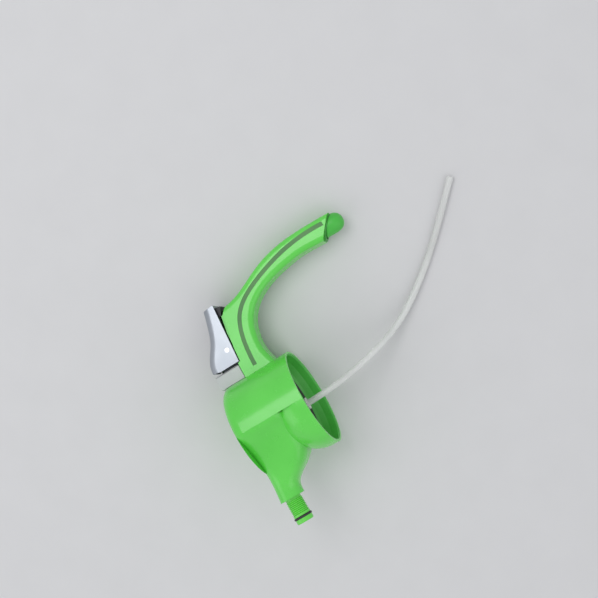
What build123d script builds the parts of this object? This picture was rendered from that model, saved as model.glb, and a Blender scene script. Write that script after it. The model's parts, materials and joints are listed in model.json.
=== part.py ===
"""Siphon bulb pump head for a drinks can, as an assembly of separate pieces.

The head lies on its side, as it rests on a table: the spout points along +X,
the open cup faces +Y and +Z is up. Every dimension below is given in the
head's own axes: x runs to the spout, z runs out of the top of the head and
the cup opens towards -z. All lengths are millimetres.
"""
import os
from math import atan2, cos, hypot, pi, radians, sin, tan

from build123d import *

os.makedirs("parts", exist_ok=True)

# ---------------------------------------------------------------- placing
roll = 15.2          # the grip and the head's side both touch the table
shift = Vector(13.73, -10.16, 31.5)

ex = Vector(cos(radians(roll)), 0, sin(radians(roll)))
ez = Vector(0, -1, 0)
ey = ez.cross(ex)


def at(x, y, z):
    """A point of the head, in the assembly's frame."""
    return shift + ex * x + ey * y + ez * z


def level(z, x=0, y=0):
    """Working plane across the cup's axis."""
    return Plane(origin=at(x, y, z), x_dir=ex, z_dir=ez)


def side(y):
    """Working plane seen from the side: sketch x is x, sketch y is z."""
    return Plane(origin=at(0, y, 0), x_dir=ex, z_dir=ey * -1)


def cross(x, z=0):
    """Working plane across the spout: sketch x is y, sketch y is z."""
    return Plane(origin=at(x, 0, z), x_dir=ey, z_dir=ex)


# ---------------------------------------------------------- head and cup
head_radius = 31.5
head_top = 48.0
head_top_round = 6.5
shell_wall = 1.8
liner_outer_radius = 30.3
cup_radius = 29.3
cup_depth = 12.5
liner_top = 14.5
liner_outside = [(30.3, 5.0), (29.5, 9.0), (28.1, 12.5), (26.8, 14.5)]
liner_inside = [(29.3, 5.2), (28.5, 9.0), (27.6, 11.0), (27.2, 12.5)]
funnel_stations = [  # x, half width, lowest z, highest z, corner radius
    (0.0, 31.3, 15.0, 48.0, 6.5),
    (2.5, 29.6, 15.0, 48.0, 6.6),
    (6.0, 26.0, 15.0, 48.0, 6.8),
    (12.0, 21.0, 15.1, 48.0, 7.2),
    (20.0, 16.4, 15.6, 48.0, 7.6),
    (29.0, 12.0, 20.5, 48.5, 8.0),
    (36.5, 9.5, 30.2, 49.4, 8.0),
    (46.5, 8.2, 34.4, 50.8, 8.1),
]

# ------------------------------------------------------------------ spout
spout_z = 42.6
tail_radius = 5.5
tail_end = 62.8
tail_bore_radius = 2.5
thread_pitch = 1.1
thread_depth = 0.55
ring_x = 59.2

# ------------------------------------------------------------ arm and grip
grip_half = 8.0
grip_round = 3.4
grip_wall = 2.0
outer_line = [
    (-75.2, 18.5), (-79.2, 4.5), (-85.4, -9.3), (-89.8, -25.0),
    (-91.2, -40.9), (-90.6, -65.5),
]
inner_line = [
    (-77.0, -54.2), (-77.6, -45.0), (-77.7, -36.0), (-76.6, -27.0),
    (-74.9, -17.8), (-72.3, -9.5), (-68.6, -2.0), (-63.3, 4.2),
    (-57.5, 8.2), (-50.5, 10.4), (-41.8, 11.2), (-33.5, 9.4), (-26.0, 6.0),
]
arm_top = [
    (-26.0, 29.4), (-40.4, 29.0), (-40.9, 27.2), (-50.0, 26.5), (-60.7, 24.4), (-71.2, 22.2),
]
ridge = [(-72.2, 19.0), (-70.8, 23.9), (-60.0, 25.9), (-42.0, 27.0), (-42.0, 19.0)]
ridge_half = 6.9
slot_half = 5.5
inlay_line = [
    (-86.3, -59.6), (-86.6, -43.5), (-84.6, -28.0), (-80.8, -13.9),
    (-76.0, -1.3), (-72.0, 6.0), (-66.0, 12.6), (-59.5, 16.2),
    (-51.0, 18.6), (-42.0, 19.8), (-34.0, 20.2),
]
inlay_width = 2.7
groove_depth = 0.9
inlay_thickness = 0.7

# ------------------------------------------------------------------ lever
pivot_x = -50.7
pivot_z = 30.8
pin_radius = 1.5
pin_clearance = 0.05
lug_half = 3.2
cover_half = 8.6
cover_wall = 1.4
cover_round = 4.6
frame_half = 5.2
frame_wall = 1.5
block_back = -40.0
block_front = -31.0

# ------------------------------------------------------------- valve parts
body_radius = 3.5
body_bore = 2.5
rod_radius = 1.0
seat_x = 39.0
siphon_x = 2.0
air_x = -18.0

# --------------------------------------------------------------- the bulb
bulb_mid = (-83.8, -59.85)
bulb_turn = atan2(-65.5 + 54.2, -90.6 + 77.0)
bulb_long = 8.6
bulb_short = 7.0
bulb_wall = 1.3
bulb_root = (-84.7, -58.0)
bulb_lean = 3.0      # degrees the bulb points away from straight down
bulb_wide = 6.3
bulb_deep = 6.9
bulb_stations = [    # distance down from bulb_root, share of the full width
    (-6.0, 1.0), (0.0, 1.0), (6.0, 0.99), (8.6, 0.93), (10.6, 0.80),
    (12.0, 0.60), (12.8, 0.36), (13.1, 0.10),
]
crown_wide = 4.0
crown_deep = 4.4

# ------------------------------------------------------------ siphon tube
tube_radius = 2.0
tube_bore = 1.3
tube_floor = tube_radius + 0.05


def ring_profile(points):
    """Closed outline of a turned piece: sketch x is x or radius."""
    with BuildLine() as line:
        Polyline(*points, close=True)
    make_face(line.edges())


def offset_side(points, distance):
    """Points moved sideways off a smooth line through `points`."""
    moved = []
    for i, (x, z) in enumerate(points):
        a = points[max(i - 1, 0)]
        b = points[min(i + 1, len(points) - 1)]
        run = hypot(b[0] - a[0], b[1] - a[1])
        moved.append((
            x - (b[1] - a[1]) / run * distance,
            z + (b[0] - a[0]) / run * distance,
        ))
    return moved


def grip_outline():
    """Side outline of the arm and grip, on the sketch in hand."""
    with BuildLine() as line:
        Spline(*outer_line)
        Line(outer_line[-1], inner_line[0])
        Spline(*inner_line)
        Line(inner_line[-1], arm_top[0])
        Polyline(*arm_top)
        Line(arm_top[-1], outer_line[0])
    make_face(line.edges())


def inlay_outline(width):
    """Outline of the strip let into the side of the grip."""
    left = offset_side(inlay_line, width / 2)
    right = offset_side(inlay_line, -width / 2)
    with BuildLine() as line:
        Spline(*left)
        Line(left[-1], right[-1])
        Spline(*right)
        Line(right[0], left[0])
    make_face(line.edges())


def funnel(shrink):
    """Loft of the funnel, made smaller all round by `shrink`."""
    sections = []
    for x, half, low, high, radius in funnel_stations:
        wide = 2 * (half - shrink)
        tall = high - low - 2 * shrink
        corner = min(radius - shrink, wide / 2 - 0.05, tall / 2 - 0.05)
        with BuildSketch(cross(x, (high + low) / 2)) as section:
            RectangleRounded(wide, tall, corner)
        sections.append(section.sketch)
    with BuildPart() as cone:
        loft(sections)
    return cone.part


def back_half(radius, low, high, rounding, front):
    """Turned block of the head, cut off in front of x = `front`."""
    with BuildPart() as block:
        with BuildSketch(side(0)):
            with BuildLine():
                Polyline((0, low), (radius, low), (radius, high - rounding))
                RadiusArc((radius, high - rounding), (radius - rounding, high), -rounding)
                Polyline((radius - rounding, high), (0, high), (0, low))
            make_face()
        revolve(axis=Axis(at(0, 0, 0), ez))
        with BuildSketch(level(low - 1, front + 40)):
            Rectangle(80, 80)
        extrude(amount=high, mode=Mode.SUBTRACT)
    return block.part


def housing_outside():
    """Everything solid of the head, before it is hollowed and split."""
    with BuildPart() as outside:
        add(back_half(head_radius, 0, head_top, head_top_round, 0))
        # domed skirt of the cup
        with BuildSketch(side(0)):
            with BuildLine():
                Polyline((0, 0), (head_radius, 0), (head_radius - 0.1, 5))
                Spline((head_radius - 0.1, 5), (30.8, 9), (29.4, 13), (26.8, 17), (21.0, 21.5))
                Polyline((21.0, 21.5), (0, 23), (0, 0))
            make_face()
        revolve(axis=Axis(at(0, 0, 0), ez))
        add(funnel(0))
    return outside.part


def arm_solid():
    """The arm and grip with rounded edges."""
    with BuildPart() as arm:
        with BuildSketch(side(-grip_half)):
            grip_outline()
        extrude(amount=-2 * grip_half)
        long_edges = arm.edges().filter_by(GeomType.BSPLINE)
        fillet(long_edges, grip_round)
    return arm.part


def grip_space():
    """Hollow of the grip and arm, one wall inside the outline."""
    outer = offset_side(outer_line, grip_wall)
    inner = offset_side(inner_line, grip_wall)
    outer[-1] = (outer[-1][0], outer[-1][1] + 1.4 * grip_wall)
    inner[0] = (inner[0][0], inner[0][1] + 1.4 * grip_wall)
    top = [(x, z - grip_wall) for x, z in arm_top[:-1]]
    top.append((arm_top[-1][0] + 1.0, arm_top[-1][1] - grip_wall))
    with BuildPart() as space:
        with BuildSketch(side(-grip_half + grip_wall)):
            with BuildLine():
                Spline(*outer)
                Line(outer[-1], inner[0])
                Spline(*inner)
                Line(inner[-1], top[0])
                Polyline(*top)
                Line(top[-1], outer[0])
            make_face()
        extrude(amount=-2 * (grip_half - grip_wall))
    return space.part


def half_housing(near):
    """One half of the housing: the near half has y above zero."""
    sign = 1 if near else -1
    with BuildPart() as half:
        add(housing_outside())
        add(arm_solid())
        # ridge that the lever's cover slides over
        with BuildSketch(side(-ridge_half)):
            ring_profile(ridge)
        extrude(amount=-2 * ridge_half)
        # keep one half
        with BuildSketch(level(-100)):
            with Locations((0, -sign * 50)):
                Rectangle(300, 100)
        extrude(amount=200, mode=Mode.SUBTRACT)
        # room for the liner, then the space above it
        with BuildSketch(side(0)):
            ring_profile([(0, -1), (liner_outer_radius, -1), *liner_outside, (0, liner_top)])
        revolve(axis=Axis(at(0, 0, 0), ez), mode=Mode.SUBTRACT)
        add(
            back_half(head_radius - shell_wall, liner_top, head_top - shell_wall,
                      head_top_round - shell_wall, 0.2),
            mode=Mode.SUBTRACT,
        )
        add(funnel(shell_wall), mode=Mode.SUBTRACT)
        add(grip_space(), mode=Mode.SUBTRACT)
        # slot for the lever's frame, then the pivot lug on its deck
        with BuildSketch(side(-slot_half)):
            ring_profile([(-80, 17.6), (-43.8, 17.6), (-43.8, 34), (-80, 34)])
        extrude(amount=-2 * slot_half, mode=Mode.SUBTRACT)
        with BuildSketch(side(0)):
            ring_profile([(-58, 20.2), (-58, 22), (-43.6, 22), (-43.6, 20.2)])
        extrude(amount=-sign * (grip_half - 1))
        with BuildSketch(side(0)):
            with Locations((pivot_x, pivot_z)):
                Circle(3.6)
            ring_profile([(-57, 20.2), (-54.2, 31.8), (-47.2, 31.8), (-44.5, 20.2)])
        extrude(amount=-sign * lug_half)
        # open the lower end of the grip into the bulb
        with BuildSketch(bulb_plane(-4)):
            Ellipse(bulb_long - 2.4, bulb_short - 1.8)
        extrude(amount=8, mode=Mode.SUBTRACT)
        # groove for the inlay
        with BuildSketch(side(sign * (grip_half - groove_depth))):
            inlay_outline(inlay_width)
        extrude(amount=-sign * 3, mode=Mode.SUBTRACT)
        # pivot pin, air duct, gland block and valve tube
        with BuildSketch(side(-20)):
            with Locations((pivot_x, pivot_z)):
                Circle(pin_radius)
        extrude(amount=-40, mode=Mode.SUBTRACT)
        with BuildSketch(cross(-34, 18.4)):
            Circle(2.4)
        extrude(amount=8, mode=Mode.SUBTRACT)
        with BuildSketch(cross(block_back - 0.5, 38.4)):
            Rectangle(13.0, 17.0)
        extrude(amount=block_front - block_back + 0.5, mode=Mode.SUBTRACT)
        with BuildSketch(cross(block_front - 1, spout_z)):
            Circle(body_radius)
        extrude(amount=14, mode=Mode.SUBTRACT)
        # siphon nipple, and the neck's bore for the spout
        with BuildSketch(level(13.0, siphon_x)):
            Circle(3.0)
        extrude(amount=17, mode=Mode.SUBTRACT)
        with BuildSketch(cross(43.5, spout_z)):
            Circle(6.3)
        extrude(amount=4, mode=Mode.SUBTRACT)
        with BuildSketch(cross(39.0, spout_z)):
            Circle(5.0)
        extrude(amount=5, mode=Mode.SUBTRACT)
    return half.part


def bulb_plane(height):
    """Working plane along the grip's slanted end, `height` out from it."""
    along = ex * cos(bulb_turn) + ez * sin(bulb_turn)
    out = ex * -sin(bulb_turn) + ez * cos(bulb_turn)
    if out.dot(ez) > 0:
        out = out * -1
    foot = at(bulb_mid[0], 0, bulb_mid[1]) + out * height
    return Plane(origin=foot, x_dir=along, z_dir=out)


def tip_plane(height):
    """Working plane across the bulb's own axis, `height` below its root."""
    down = ex * sin(radians(bulb_lean)) - ez * cos(radians(bulb_lean))
    foot = at(bulb_root[0], 0, bulb_root[1]) + down * height
    return Plane(origin=foot, x_dir=ey, z_dir=down)


# ================================================================ housing
with BuildPart() as near_shell:
    add(half_housing(True))
near_shell.part.label = "near_shell"
export_step(near_shell.part, "parts/near_shell.step")

with BuildPart() as far_shell:
    add(half_housing(False))
far_shell.part.label = "far_shell"
export_step(far_shell.part, "parts/far_shell.step")
print("shells", near_shell.part.volume, far_shell.part.volume,
      len(near_shell.part.solids()), len(far_shell.part.solids()))

with BuildPart() as cup_liner:
    with BuildSketch(side(0)):
        ring_profile([
            (0, cup_depth), *reversed(liner_inside), (cup_radius, 1.0),
            (cup_radius + 0.5, 0), (liner_outer_radius, 0),
            *liner_outside, (0, liner_top),
        ])
    revolve(axis=Axis(at(0, 0, 0), ez))
    with BuildSketch(level(cup_depth - 2.0)):
        Circle(21.4)
        Circle(20.2, mode=Mode.SUBTRACT)
        Circle(9.0)
        Circle(7.8, mode=Mode.SUBTRACT)
        with PolarLocations(14.9, 8):
            Rectangle(13.0, 1.2)
    extrude(amount=2.0)
    with BuildSketch(level(0, siphon_x)):
        Circle(3.0)
    extrude(amount=30, mode=Mode.SUBTRACT)
    with BuildSketch(level(0, air_x)):
        Circle(2.0)
    extrude(amount=30, mode=Mode.SUBTRACT)
cup_liner.part.label = "cup_liner"
export_step(cup_liner.part, "parts/cup_liner.step")

with BuildPart() as can_gasket:
    with BuildSketch(side(0)):
        ring_profile([
            (23.0, cup_depth - 2.0), (23.8, cup_depth - 2.8), (27.4, cup_depth - 2.0),
            (27.2, cup_depth), (23.0, cup_depth),
        ])
    revolve(axis=Axis(at(0, 0, 0), ez))
can_gasket.part.label = "can_gasket"
export_step(can_gasket.part, "parts/can_gasket.step")

# ============================================================ valve pieces
with BuildPart() as valve_body:
    with BuildSketch(cross(block_front, spout_z)):
        Circle(body_radius)
    extrude(amount=seat_x - block_front)
    with BuildSketch(level(30.0, siphon_x)):
        Circle(3.0)
    extrude(amount=spout_z - 30.0)
    with BuildSketch(cross(block_front, spout_z)):
        Circle(body_bore)
    extrude(amount=seat_x - block_front, mode=Mode.SUBTRACT)
    with BuildSketch(level(29.0, siphon_x)):
        Circle(tube_bore)
    extrude(amount=spout_z - 29.0, mode=Mode.SUBTRACT)
valve_body.part.label = "valve_body"
export_step(valve_body.part, "parts/valve_body.step")

with BuildPart() as siphon_nipple:
    with BuildSketch(level(5.0, siphon_x)):
        Circle(3.8)
    extrude(amount=cup_depth - 2.0 - 5.0)
    with BuildSketch(level(5.0, siphon_x)):
        Circle(3.0)
    extrude(amount=25.0)
    with BuildSketch(level(5.0, siphon_x)):
        Circle(tube_radius)
    extrude(amount=6.0, mode=Mode.SUBTRACT)
    with BuildSketch(level(5.0, siphon_x)):
        Circle(tube_bore)
    extrude(amount=25.0, mode=Mode.SUBTRACT)
siphon_nipple.part.label = "siphon_nipple"
export_step(siphon_nipple.part, "parts/siphon_nipple.step")

with BuildPart() as valve_seat:
    with BuildSketch(side(0)):
        with Locations((seat_x, spout_z)):
            Rectangle(2.0, 4.8, align=(Align.MIN, Align.MIN))
    revolve(axis=Axis(at(0, 0, spout_z), ex))
    with BuildSketch(cross(seat_x - 1, spout_z)):
        Circle(1.5)
    extrude(amount=4, mode=Mode.SUBTRACT)
valve_seat.part.label = "valve_seat"
export_step(valve_seat.part, "parts/valve_seat.step")

with BuildPart() as spout_tail:
    with BuildSketch(side(0)):
        with BuildLine():
            outline = [(seat_x + 2.0, spout_z), (seat_x + 2.0, spout_z + 5.0)]
            outline += [(43.5, spout_z + 5.0), (43.5, spout_z + 6.3), (46.5, spout_z + 6.3)]
            outline += [(46.5, spout_z + 5.2)]
            x = 48.0
            while x + thread_pitch < 57.5:
                outline.append((x, spout_z + tail_radius - thread_depth))
                outline.append((x + 0.3 * thread_pitch, spout_z + tail_radius))
                outline.append((x + 0.6 * thread_pitch, spout_z + tail_radius))
                x += thread_pitch
            outline.append((x, spout_z + tail_radius - thread_depth))
            outline.append((x + 0.1, spout_z + tail_radius))
            outline.append((ring_x - 0.8, spout_z + tail_radius))
            outline.append((ring_x - 0.8, spout_z + tail_radius - 1.1))
            outline.append((ring_x + 0.8, spout_z + tail_radius - 1.1))
            outline.append((ring_x + 0.8, spout_z + tail_radius))
            outline.append((tail_end - 0.5, spout_z + tail_radius))
            outline.append((tail_end, spout_z + tail_radius - 0.5))
            outline.append((tail_end, spout_z))
            Polyline(*outline, close=True)
        make_face()
    revolve(axis=Axis(at(0, 0, spout_z), ex))
    with BuildSketch(cross(seat_x, spout_z)):
        Circle(tail_bore_radius)
    extrude(amount=tail_end - seat_x + 1, mode=Mode.SUBTRACT)
spout_tail.part.label = "spout_tail"
export_step(spout_tail.part, "parts/spout_tail.step")

with BuildPart() as spout_o_ring:
    with BuildSketch(side(0)):
        with Locations((ring_x, spout_z + tail_radius - 1.1 + 0.8)):
            Circle(0.8)
    revolve(axis=Axis(at(0, 0, spout_z), ex))
spout_o_ring.part.label = "spout_o_ring"
export_step(spout_o_ring.part, "parts/spout_o_ring.step")

with BuildPart() as gland_block:
    with BuildSketch(cross(block_back, 38.4)):
        Rectangle(13.0, 17.0)
    extrude(amount=block_front - block_back)
    chamfer(gland_block.faces().sort_by(Axis(at(0, 0, 0), ex))[0].edges(), 0.8)
    with BuildSketch(cross(block_back - 1, spout_z)):
        Circle(rod_radius + 0.05)
    extrude(amount=12, mode=Mode.SUBTRACT)
    with BuildSketch(cross(block_front - 2.0, spout_z)):
        Circle(2.0)
    extrude(amount=3, mode=Mode.SUBTRACT)
gland_block.part.label = "gland_block"
export_step(gland_block.part, "parts/gland_block.step")

with BuildPart() as gland_seal:
    with BuildSketch(cross(block_front - 2.0, spout_z)):
        Circle(2.0)
        Circle(rod_radius + 0.05, mode=Mode.SUBTRACT)
    extrude(amount=1.8)
gland_seal.part.label = "gland_seal"
export_step(gland_seal.part, "parts/gland_seal.step")

# ------------------------------------------------ rod, poppet and spring
with BuildPart() as valve_rod:
    with BuildSketch(cross(-46.8, spout_z)):
        Circle(1.7)
    extrude(amount=0.9)
    with BuildSketch(cross(-46.0, spout_z)):
        Circle(rod_radius)
    extrude(amount=seat_x - 2.2 + 46.0)
valve_rod.part.label = "valve_rod"
export_step(valve_rod.part, "parts/valve_rod.step")

with BuildPart() as poppet:
    with BuildSketch(cross(seat_x - 2.2, spout_z)):
        Circle(2.2)
    extrude(amount=2.15)
poppet.part.label = "poppet"
export_step(poppet.part, "parts/poppet.step")

with BuildPart() as spring_collar:
    with BuildSketch(cross(-17.0, spout_z)):
        Circle(2.3)
        Circle(rod_radius, mode=Mode.SUBTRACT)
    extrude(amount=1.6)
spring_collar.part.label = "spring_collar"
export_step(spring_collar.part, "parts/spring_collar.step")

spring_turns = 7
spring_length = 13.4
with BuildPart() as valve_spring:
    with BuildLine():
        coil = Helix(
            pitch=spring_length / spring_turns,
            height=spring_length,
            radius=1.8,
            center=at(-30.7, 0, spout_z),
            direction=ex,
        )
    with BuildSketch(Plane(origin=coil @ 0, z_dir=coil % 0)):
        Circle(0.25)
    sweep(path=coil, is_frenet=True)
valve_spring.part.label = "valve_spring"
export_step(valve_spring.part, "parts/valve_spring.step")

# ================================================================== lever
def lever_hollow():
    """Inside of the lever's cover, with rounded upper corners."""
    with BuildPart() as hollow:
        with BuildSketch(side(-cover_half + cover_wall)):
            with BuildLine():
                Polyline((-77.8, 20.0), (-77.5, 31.8))
                Spline(
                    (-77.5, 31.8), (-69.5, 33.9), (-59.6, 37.6), (-48.6, 44.1), (-38.0, 45.4),
                )
                Polyline((-38.0, 45.4), (-38.0, 20.0), (-77.8, 20.0))
            make_face()
        extrude(amount=-2 * (cover_half - cover_wall))
        fillet(hollow.edges().filter_by(GeomType.BSPLINE), cover_round - cover_wall)
    return hollow.part


with BuildPart() as lever_cover:
    with BuildSketch(side(-cover_half)):
        with BuildLine():
            Polyline((-79.2, 25.1), (-78.9, 33.1))
            Spline(
                (-78.9, 33.1), (-69.5, 35.6), (-59.6, 39.4), (-48.6, 46.0), (-42.6, 47.2),
            )
            Polyline((-42.6, 47.2), (-41.2, 41.2), (-41.2, 27.8), (-79.2, 25.1))
        make_face()
    extrude(amount=-2 * cover_half)
    upper = lever_cover.edges().filter_by(GeomType.BSPLINE)
    fillet(upper, cover_round)
    add(lever_hollow(), mode=Mode.SUBTRACT)
    with BuildSketch(side(-20)):
        with Locations((pivot_x, pivot_z)):
            Circle(pin_radius + pin_clearance)
    extrude(amount=-40, mode=Mode.SUBTRACT)
lever_cover.part.label = "lever_cover"
export_step(lever_cover.part, "parts/lever_cover.step")

with BuildPart() as lever_frame:
    with BuildSketch(side(-frame_half)):
        with BuildLine():
            Polyline(
                (-77.6, 25.0), (-77.4, 28.2), (-60.0, 33.6), (-52.0, 38.0), (-43.8, 38.0),
                (-42.6, 29.0), (-44.0, 27.9), (-60.0, 26.6), (-71.5, 25.7), (-71.5, 24.2),
                (-76.9, 21.8), close=True,
            )
        make_face()
    extrude(amount=-2 * frame_half)
    with BuildSketch(side(-frame_half + frame_wall)):
        with BuildLine():
            Polyline(
                (-74.5, 20.0), (-74.5, 26.6), (-58.0, 31.8), (-55.5, 34.9),
                (-38.0, 34.9), (-38.0, 20.0), close=True,
            )
        make_face()
    extrude(amount=-2 * (frame_half - frame_wall), mode=Mode.SUBTRACT)
    # fork that pulls the rod
    with BuildSketch(side(-3.6)):
        with Locations((-44.6, 38.6)):
            Rectangle(1.6, 10.4)
    extrude(amount=-7.2)
    with BuildSketch(side(-frame_half - 1)):
        with BuildLine():
            Polyline(
                (-52.0, 38.5), (-49.4, 36.5), (-45.4, 36.5), (-45.4, 50.0), (-52.0, 50.0),
                close=True,
            )
        make_face()
    extrude(amount=-2 * frame_half - 2, mode=Mode.SUBTRACT)
    with BuildSketch(cross(-50.0, spout_z + 1.4)):
        SlotCenterToCenter(5.2, 2.4, rotation=90)
    extrude(amount=12, mode=Mode.SUBTRACT)
    with BuildSketch(side(-20)):
        with Locations((pivot_x, pivot_z)):
            Circle(pin_radius + pin_clearance)
    extrude(amount=-40, mode=Mode.SUBTRACT)
lever_frame.part.label = "lever_frame"
export_step(lever_frame.part, "parts/lever_frame.step")
print("lever", len(lever_cover.part.solids()), len(lever_frame.part.solids()))

with BuildPart() as lever_pin:
    with BuildSketch(side(-cover_half - 0.2)):
        with Locations((pivot_x, pivot_z)):
            Circle(pin_radius)
    extrude(amount=-2 * (cover_half + 0.2))
lever_pin.part.label = "lever_pin"
export_step(lever_pin.part, "parts/lever_pin.step")

# ================================================================= inlays
with BuildPart() as near_inlay:
    with BuildSketch(side(grip_half - groove_depth)):
        inlay_outline(inlay_width)
    extrude(amount=-inlay_thickness)
near_inlay.part.label = "near_inlay"
export_step(near_inlay.part, "parts/near_inlay.step")

with BuildPart() as far_inlay:
    with BuildSketch(side(-grip_half + groove_depth)):
        inlay_outline(inlay_width)
    extrude(amount=inlay_thickness)
far_inlay.part.label = "far_inlay"
export_step(far_inlay.part, "parts/far_inlay.step")

# =============================================================== air pump
with BuildPart() as air_duct:
    with BuildLine():
        duct = Spline(
            *[at(x, 0, z) for x, z in [
                (-83.6, -53.0), (-84.4, -41.0), (-82.6, -26.0), (-78.4, -9.5),
                (-72.0, 3.2), (-62.0, 12.6), (-50.0, 17.0), (-38.0, 18.4), (air_x - 4.0, 18.6),
            ]]
        )
    with BuildSketch(Plane(origin=duct @ 0, z_dir=duct % 0)):
        Circle(1.8)
        Circle(1.1, mode=Mode.SUBTRACT)
    sweep(path=duct)
air_duct.part.label = "air_duct"
export_step(air_duct.part, "parts/air_duct.step")

with BuildPart() as air_check_valve:
    with BuildSketch(level(liner_top, air_x)):
        Circle(4.0)
    extrude(amount=7.0)
    with BuildSketch(level(12.5, air_x)):
        Circle(2.0)
    extrude(amount=3.5)
    with BuildSketch(level(12.5, air_x)):
        Circle(1.0)
    extrude(amount=9.0, mode=Mode.SUBTRACT)
air_check_valve.part.label = "air_check_valve"
export_step(air_check_valve.part, "parts/air_check_valve.step")

with BuildPart() as bulb_base:
    with BuildSketch(bulb_plane(-4.0)):
        Ellipse(bulb_long - 2.4, bulb_short - 1.8)
    extrude(amount=2.4)
    with BuildSketch(bulb_plane(-4.0)):
        Circle(0.8)
    extrude(amount=2.4, mode=Mode.SUBTRACT)
bulb_base.part.label = "bulb_base"
export_step(bulb_base.part, "parts/bulb_base.step")

with BuildPart() as bulb_inlet_valve:
    with BuildSketch(bulb_plane(-1.6)):
        with Locations((3.0, 0)):
            Circle(1.8)
    extrude(amount=0.5)
bulb_inlet_valve.part.label = "bulb_inlet_valve"
export_step(bulb_inlet_valve.part, "parts/bulb_inlet_valve.step")

with BuildPart() as bulb_ring:
    with BuildSketch(bulb_plane(0)):
        Ellipse(bulb_long, bulb_short)
        Ellipse(bulb_long - 1.8, bulb_short - 1.8, mode=Mode.SUBTRACT)
    extrude(amount=1.0)
bulb_ring.part.label = "bulb_ring"
export_step(bulb_ring.part, "parts/bulb_ring.step")

def bulb_dome(shrink):
    """Loft of the soft bulb below the grip's end, made smaller by `shrink`."""
    sections = []
    for height, share in bulb_stations:
        lower = height - shrink if height > 0 else height
        with BuildSketch(tip_plane(lower)) as section:
            Ellipse((bulb_deep - shrink) * share, (bulb_wide - shrink) * share)
        sections.append(section.sketch)
    with BuildPart() as dome:
        loft(sections)
        with BuildSketch(bulb_plane(1.0)):
            Rectangle(60, 60)
        extrude(amount=-40, mode=Mode.SUBTRACT)
    return dome.part


with BuildPart() as bulb_skirt:
    add(bulb_dome(0))
    add(bulb_dome(bulb_wall), mode=Mode.SUBTRACT)
    with BuildSketch(tip_plane(4.0)):
        Ellipse(crown_deep + 0.15, crown_wide + 0.15)
    extrude(amount=14, mode=Mode.SUBTRACT)
bulb_skirt.part.label = "bulb_skirt"
export_step(bulb_skirt.part, "parts/bulb_skirt.step")

with BuildPart() as bulb_crown:
    add(bulb_dome(0))
    add(bulb_dome(bulb_wall), mode=Mode.SUBTRACT)
    with BuildSketch(tip_plane(4.0)):
        Ellipse(crown_deep, crown_wide)
    extrude(amount=14, mode=Mode.INTERSECT)
bulb_crown.part.label = "bulb_crown"
export_step(bulb_crown.part, "parts/bulb_crown.step")
print("bulb", len(bulb_skirt.part.solids()), len(bulb_crown.part.solids()))

# ============================================================ siphon tube
mouth = at(siphon_x, 0, 10.9)
low = tube_floor
tube_points = [
    mouth,
    mouth + Vector(0, 22, 0),
    mouth + Vector(-1.8, 48, -12.5),
    Vector(mouth.X - 8.0, mouth.Y + 76, low + 3.5),
    Vector(mouth.X - 24.0, mouth.Y + 101, low),
    Vector(mouth.X - 45.0, mouth.Y + 126, low),
    Vector(mouth.X - 69.0, mouth.Y + 150, low),
]


def bend_radii(points):
    """Radius of the arc at each inner point of a bent tube."""
    radii = []
    for a, b, c in zip(points, points[1:], points[2:]):
        first = b - a
        second = c - b
        turn = radians(first.get_angle(second))
        short = min(first.length, second.length)
        radii.append(0.45 * short / tan(turn / 2))
    return radii


tube_radii = bend_radii(tube_points)
print("tube radii", [round(r) for r in tube_radii])
with BuildPart() as siphon_tube:
    with BuildLine():
        run = FilletPolyline(*tube_points, radius=tube_radii)
    with BuildSketch(Plane(origin=run @ 0, z_dir=run % 0)):
        Circle(tube_radius)
        Circle(tube_bore, mode=Mode.SUBTRACT)
    sweep(path=run)
siphon_tube.part.label = "siphon_tube"
export_step(siphon_tube.part, "parts/siphon_tube.step")
print("tube length", run.length, "volume", siphon_tube.part.volume,
      "expected", pi * (tube_radius**2 - tube_bore**2) * run.length)

pieces = [
    near_shell, far_shell, cup_liner, can_gasket, valve_body, siphon_nipple, valve_seat,
    spout_tail, spout_o_ring, gland_block, gland_seal, valve_rod, poppet, spring_collar,
    valve_spring, lever_cover, lever_frame, lever_pin, near_inlay, far_inlay, air_duct,
    air_check_valve, bulb_base, bulb_inlet_valve, bulb_ring, bulb_skirt, bulb_crown,
]
boxes = [piece.part.bounding_box() for piece in pieces]
print("low", min(b.min.X for b in boxes), min(b.min.Y for b in boxes), min(b.min.Z for b in boxes))
print("high", max(b.max.X for b in boxes), max(b.max.Y for b in boxes), max(b.max.Z for b in boxes))
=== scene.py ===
import json
import math

import bpy
from mathutils import Matrix, Vector


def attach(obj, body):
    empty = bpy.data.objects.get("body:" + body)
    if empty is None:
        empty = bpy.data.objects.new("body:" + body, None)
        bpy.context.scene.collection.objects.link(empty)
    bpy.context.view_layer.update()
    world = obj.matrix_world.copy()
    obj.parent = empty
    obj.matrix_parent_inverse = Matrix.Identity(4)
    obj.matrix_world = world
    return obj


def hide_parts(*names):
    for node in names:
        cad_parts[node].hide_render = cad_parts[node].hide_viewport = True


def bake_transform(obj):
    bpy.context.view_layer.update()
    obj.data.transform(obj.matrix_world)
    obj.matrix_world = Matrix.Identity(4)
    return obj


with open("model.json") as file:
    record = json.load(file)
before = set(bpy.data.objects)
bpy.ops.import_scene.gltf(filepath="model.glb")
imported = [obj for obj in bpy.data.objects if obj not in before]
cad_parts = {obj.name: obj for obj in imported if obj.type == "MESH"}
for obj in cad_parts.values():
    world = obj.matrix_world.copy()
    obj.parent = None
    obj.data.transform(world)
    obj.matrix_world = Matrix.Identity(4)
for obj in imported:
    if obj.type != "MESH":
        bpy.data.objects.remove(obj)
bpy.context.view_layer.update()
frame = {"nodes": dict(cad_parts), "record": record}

# The head's own axes: x to the spout, z out of its top, y to its near side.
ROLL = math.radians(15.2)
SHIFT = Vector((13.73, -10.16, 31.5))
EX = Vector((math.cos(ROLL), 0.0, math.sin(ROLL)))
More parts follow.
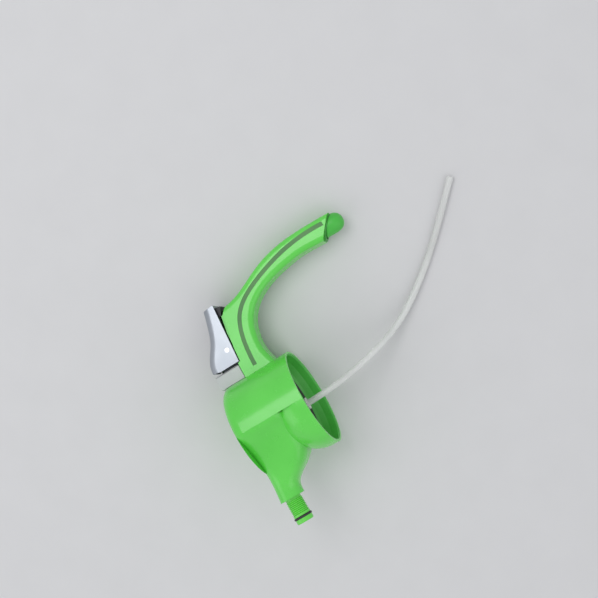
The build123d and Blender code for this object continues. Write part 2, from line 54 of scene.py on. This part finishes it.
EZ = Vector((0.0, -1.0, 0.0))
EY = EZ.cross(EX)


def at(x, y, z):
    """A point of the head in millimetres, in the row frame in metres."""
    return (SHIFT + EX * x + EY * y + EZ * z) / 1000.0


# ------------------------------------------------------------ siphon tube
TUBE_RADIUS = 0.002
MOUTH = at(2.0, 0.0, 10.9)
LOW = TUBE_RADIUS + 0.00005  # height of the tube's middle where it lies on the table
ROUTE = [
    MOUTH,
    MOUTH + Vector((0.0, 0.022, 0.0)),
    MOUTH + Vector((-0.0018, 0.048, -0.0125)),
    Vector((MOUTH.x - 0.008, MOUTH.y + 0.076, LOW + 0.0035)),
    Vector((MOUTH.x - 0.024, MOUTH.y + 0.101, LOW)),
    Vector((MOUTH.x - 0.045, MOUTH.y + 0.126, LOW)),
    Vector((MOUTH.x - 0.069, MOUTH.y + 0.150, LOW)),
]


def tube_curve(name, radius, points):
    """Round tube along a route, as a NURBS curve that starts and ends on it.

    Each point's radius holds the tube's own, because the curve's bounds take it in.
    """
    curve = bpy.data.curves.new(name, "CURVE")
    curve.dimensions = "3D"
    curve.resolution_u = 16
    curve.bevel_depth = 1.0
    curve.bevel_resolution = 6
    curve.use_fill_caps = True
    line = curve.splines.new("NURBS")
    line.points.add(len(points) - 1)
    for p, co in zip(line.points, points):
        p.co = (co.x, co.y, co.z, 1.0)
        p.radius = radius
    line.order_u = 3
    line.use_endpoint_u = True
    obj = bpy.data.objects.new(name, curve)
    bpy.context.scene.collection.objects.link(obj)
    return obj


tube = tube_curve("soft_siphon_tube", TUBE_RADIUS, ROUTE)
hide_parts("siphon_tube")
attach(tube, "housing")


# -------------------------------------------------------------- materials
def shader(name):
    """New material with its node tree, principled shader and output."""
    mat = bpy.data.materials.new(name)
    mat.use_nodes = True
    nodes = mat.node_tree.nodes
    return mat, mat.node_tree, nodes["Principled BSDF"]


def noise(tree, scale, detail=4.0):
    """Noise in object space."""
    coord = tree.nodes.new("ShaderNodeTexCoord")
    tex = tree.nodes.new("ShaderNodeTexNoise")
    tex.inputs["Scale"].default_value = scale
    tex.inputs["Detail"].default_value = detail
    tex.inputs["Roughness"].default_value = 0.55
    tree.links.new(coord.outputs["Object"], tex.inputs["Vector"])
    return tex.outputs["Fac"]


def ramp(tree, fac, low, high):
    """Colour between two ends of a factor."""
    node = tree.nodes.new("ShaderNodeValToRGB")
    node.color_ramp.elements[0].position = 0.3
    node.color_ramp.elements[0].color = (*low, 1.0)
    node.color_ramp.elements[1].position = 0.7
    node.color_ramp.elements[1].color = (*high, 1.0)
    tree.links.new(fac, node.inputs["Fac"])
    return node.outputs["Color"]


def spread(tree, fac, low, high):
    """Factor mapped to a range of values."""
    node = tree.nodes.new("ShaderNodeMapRange")
    node.inputs["To Min"].default_value = low
    node.inputs["To Max"].default_value = high
    tree.links.new(fac, node.inputs["Value"])
    return node.outputs["Result"]


def bump(tree, bsdf, fac, strength):
    """Fine relief on the surface."""
    node = tree.nodes.new("ShaderNodeBump")
    node.inputs["Strength"].default_value = strength
    node.inputs["Distance"].default_value = 0.0002
    tree.links.new(fac, node.inputs["Height"])
    tree.links.new(node.outputs["Normal"], bsdf.inputs["Normal"])


def plastic(name, low, high, rough, grain=900.0, relief=0.05, coat=0.0, soft=0.0):
    """Moulded plastic: slight mottling, uneven gloss and a fine skin."""
    mat, tree, bsdf = shader(name)
    tree.links.new(ramp(tree, noise(tree, 38.0), low, high), bsdf.inputs["Base Color"])
    tree.links.new(
        spread(tree, noise(tree, 130.0, 3.0), rough - 0.05, rough + 0.07),
        bsdf.inputs["Roughness"],
    )
    bump(tree, bsdf, noise(tree, grain, 2.0), relief)
    bsdf.inputs["Coat Weight"].default_value = coat
    bsdf.inputs["Coat Roughness"].default_value = 0.12
    bsdf.inputs["Subsurface Weight"].default_value = soft
    bsdf.inputs["Subsurface Radius"].default_value = (0.001, 0.002, 0.0008)
    return mat


def metal(name, low, high, rough, grain=700.0, relief=0.06):
    """Metal with faint uneven gloss."""
    mat, tree, bsdf = shader(name)
    bsdf.inputs["Metallic"].default_value = 1.0
    tree.links.new(ramp(tree, noise(tree, 60.0), low, high), bsdf.inputs["Base Color"])
    tree.links.new(
        spread(tree, noise(tree, 240.0, 3.0), rough - 0.05, rough + 0.08),
        bsdf.inputs["Roughness"],
    )
    bump(tree, bsdf, noise(tree, grain, 2.0), relief)
    return mat


def clear_tube(name):
    """Translucent soft tube."""
    mat, tree, bsdf = shader(name)
    tree.links.new(
        ramp(tree, noise(tree, 45.0), (0.80, 0.81, 0.79), (0.90, 0.91, 0.89)),
        bsdf.inputs["Base Color"],
    )
    tree.links.new(
        spread(tree, noise(tree, 160.0, 3.0), 0.16, 0.30), bsdf.inputs["Roughness"],
    )
    bump(tree, bsdf, noise(tree, 500.0, 2.0), 0.05)
    bsdf.inputs["Transmission Weight"].default_value = 0.28
    bsdf.inputs["IOR"].default_value = 1.42
    return mat


looks = {
    "green_plastic": plastic(
        "mat_green_plastic", (0.100, 0.63, 0.062), (0.122, 0.69, 0.078), 0.25, coat=0.4, soft=0.06,
    ),
    "liner_plastic": plastic(
        "mat_liner_plastic", (0.065, 0.46, 0.055), (0.085, 0.52, 0.070), 0.36, soft=0.04,
    ),
    "spout_plastic": plastic(
        "mat_spout_plastic", (0.120, 0.64, 0.062), (0.145, 0.70, 0.078), 0.24, coat=0.3, soft=0.06,
    ),
    "inlay_plastic": plastic(
        "mat_inlay_plastic", (0.075, 0.21, 0.070), (0.110, 0.27, 0.090), 0.55, grain=1500.0,
        relief=0.25,
    ),
    "gasket_rubber": plastic(
        "mat_gasket_rubber", (0.020, 0.020, 0.020), (0.034, 0.034, 0.033), 0.62, relief=0.2,
    ),
    "seal_rubber": plastic(
        "mat_seal_rubber", (0.016, 0.016, 0.016), (0.030, 0.030, 0.030), 0.50, relief=0.15,
    ),
    "valve_plastic": plastic(
        "mat_valve_plastic", (0.66, 0.67, 0.64), (0.74, 0.75, 0.72), 0.42, soft=0.08,
    ),
    "block_plastic": plastic(
        "mat_block_plastic", (0.44, 0.47, 0.46), (0.54, 0.56, 0.55), 0.34, coat=0.15,
    ),
    "steel": metal("mat_steel", (0.50, 0.50, 0.50), (0.64, 0.64, 0.63), 0.24),
    "silver_cover": metal(
        "mat_silver_cover", (0.36, 0.39, 0.43), (0.44, 0.47, 0.51), 0.36, grain=1600.0,
    ),
    "frame_plastic": plastic(
        "mat_frame_plastic", (0.014, 0.015, 0.017), (0.026, 0.027, 0.030), 0.42, relief=0.12,
    ),
    "bulb_rubber": plastic(
        "mat_bulb_rubber", (0.055, 0.47, 0.050), (0.075, 0.53, 0.062), 0.42, grain=1300.0,
        relief=0.15, soft=0.08,
    ),
    "ring_plastic": plastic(
        "mat_ring_plastic", (0.040, 0.27, 0.040), (0.055, 0.32, 0.052), 0.45,
    ),
    "tube_clear": clear_tube("mat_tube_clear"),
}

record = frame["record"]
slot_of = {s["node"]: s["material_slot"] for s in record["subparts"]}
for name, node in frame["nodes"].items():
    for holder in node.material_slots:
        holder.material = looks[slot_of[name]]
tube.data.materials.append(looks["tube_clear"])


# -------------------------------------------------------------- soft bulb
BULB_LEAN = math.radians(3.0)
BULB_ROOT = SHIFT + EX * -84.7 + EZ * -58.0
BULB_HALF_WIDTH = 6.9
BULB_HALF_DEPTH = 6.3
END_FOOT = SHIFT + EX * -83.8 + EZ * -59.85
END_TURN = math.atan2(-11.3, -13.6)
END_GAP = 1.0


def bulb_point(height, angle, share):
    """Point on the bulb, `height` mm below its root, round its own axis."""
    down = EX * math.sin(BULB_LEAN) - EZ * math.cos(BULB_LEAN)
    along = down.cross(EY)
    spot = BULB_ROOT + down * height + EY * (BULB_HALF_WIDTH * share * math.cos(angle))
    return (spot + along * (BULB_HALF_DEPTH * share * math.sin(angle))) / 1000.0


def end_height(point):
    """How far a point is out from the grip's slanted end, in mm."""
    out = EX * -math.sin(END_TURN) + EZ * math.cos(END_TURN)
    return (point * 1000.0 - END_FOOT).dot(out)


# height above the root in mm, and share of the full width there
STATIONS = [
    (0.0, 1.0), (2.0, 1.0), (4.0, 0.997), (6.0, 0.985), (7.4, 0.965), (8.6, 0.93),
    (9.7, 0.872), (10.6, 0.80), (11.4, 0.705), (12.0, 0.60), (12.5, 0.47), (12.85, 0.33),
    (13.05, 0.18), (13.12, 0.06),
]


def share_at(height):
    """Width share of the bulb at a height, between stations."""
    for (h0, s0), (h1, s1) in zip(STATIONS, STATIONS[1:]):
        if height <= h1:
            return s0 + (s1 - s0) * (height - h0) / (h1 - h0)
    return STATIONS[-1][1]


def bulb_mesh():
    """Closed soft dome from the grip's slanted end to its tip."""
    around = 64
    rings = 22
    top = STATIONS[-1][0]
    columns = []
    for i in range(around):
        angle = 2 * math.pi * i / around
        low, high = -8.0, 12.0
        for _ in range(40):
            middle = (low + high) / 2
            if end_height(bulb_point(middle, angle, share_at(max(middle, 0.0)))) < END_GAP:
                low = middle
            else:
                high = middle
        start = high
        column = []
        for r in range(rings):
            t = r / (rings - 1)
            eased = math.sin(t * math.pi / 2)
            height = start + (top - start) * eased
            column.append(bulb_point(height, angle, share_at(max(height, 0.0))))
        columns.append(column)
    verts = [p for column in columns for p in column]
    faces = []
    for i in range(around):
        j = (i + 1) % around
        for r in range(rings - 1):
            faces.append((i * rings + r, i * rings + r + 1, j * rings + r + 1, j * rings + r))
    tip = len(verts)
    verts.append(bulb_point(top + 0.03, 0.0, 0.0))
    foot = len(verts)
    verts.append(bulb_point(6.0, 0.0, 0.0))
    for i in range(around):
        j = (i + 1) % around
        faces.append((i * rings + rings - 1, tip, j * rings + rings - 1))
        faces.append((i * rings, j * rings, foot))
    mesh = bpy.data.meshes.new("soft_bulb")
    mesh.from_pydata([tuple(v) for v in verts], [], faces)
    for polygon in mesh.polygons:
        polygon.use_smooth = True
    mesh.validate()
    mesh.update()
    obj = bpy.data.objects.new("soft_bulb", mesh)
    bpy.context.scene.collection.objects.link(obj)
    return obj


bulb = bulb_mesh()
bulb.data.materials.append(looks["bulb_rubber"])
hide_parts("bulb_skirt", "bulb_crown")
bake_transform(bulb)

# ------------------------------------------------------- floor and lights
floor_mesh = bpy.data.meshes.new("floor")
floor_mesh.from_pydata(
    [(-3, -3, 0), (3, -3, 0), (3, 3, 0), (-3, 3, 0)], [], [(0, 1, 2, 3)],
)
floor = bpy.data.objects.new("floor", floor_mesh)
bpy.context.scene.collection.objects.link(floor)
floor.data.materials.append(
    plastic("mat_floor", (0.655, 0.65, 0.655), (0.67, 0.665, 0.67), 0.75, grain=60.0, relief=0.02)
)


def area_light(name, place, target, size, power):
    """Soft square light aimed at a point."""
    data = bpy.data.lights.new(name, "AREA")
    data.shape = "SQUARE"
    data.size = size
    data.energy = power
    obj = bpy.data.objects.new(name, data)
    bpy.context.scene.collection.objects.link(obj)
    obj.location = place
    obj.rotation_mode = "QUATERNION"
    obj.rotation_quaternion = (Vector(target) - Vector(place)).to_track_quat("-Z", "Y")
    return obj


key = area_light("key", (-0.55, -0.10, 0.95), (0, 0, 0.02), 0.55, 2.6)
fill = area_light("fill", (0.70, 0.55, 0.80), (0, 0, 0.02), 0.9, 1.5)
rim = area_light("rim", (0.1, -0.9, 0.6), (0, 0, 0.03), 0.6, 0.9)
world = bpy.data.worlds.new("studio")
world.use_nodes = True
world.node_tree.nodes["Background"].inputs["Color"].default_value = (0.95, 0.97, 1.0, 1.0)
world.node_tree.nodes["Background"].inputs["Strength"].default_value = 0.70
bpy.context.scene.world = world
bpy.context.scene.view_settings.view_transform = "Standard"

# ----------------------------------------------------------------- camera
DISTANCE = 0.7
VIEW_WIDTH = 0.36418
TARGET_LEFT = 0.00883
TARGET_UP = 0.05907
back = (EX * 0.157 + EY * 0.973 - EZ * 0.169).normalized()
up = -EX * 0.86 - EZ * 0.51
right = up.cross(back).normalized()
up = back.cross(right).normalized()
target = at(0, 0, 0) - right * TARGET_LEFT + up * TARGET_UP
camera_data = bpy.data.cameras.new("camera")
camera_data.sensor_width = 36.0
camera_data.lens = camera_data.sensor_width * DISTANCE / VIEW_WIDTH
camera_data.clip_start = 0.01
camera_data.clip_end = 20.0
camera = bpy.data.objects.new("camera", camera_data)
bpy.context.scene.collection.objects.link(camera)
camera.matrix_world = Matrix((
    (right.x, up.x, back.x, target.x + back.x * DISTANCE),
    (right.y, up.y, back.y, target.y + back.y * DISTANCE),
    (right.z, up.z, back.z, target.z + back.z * DISTANCE),
    (0, 0, 0, 1),
))
bpy.context.scene.camera = camera
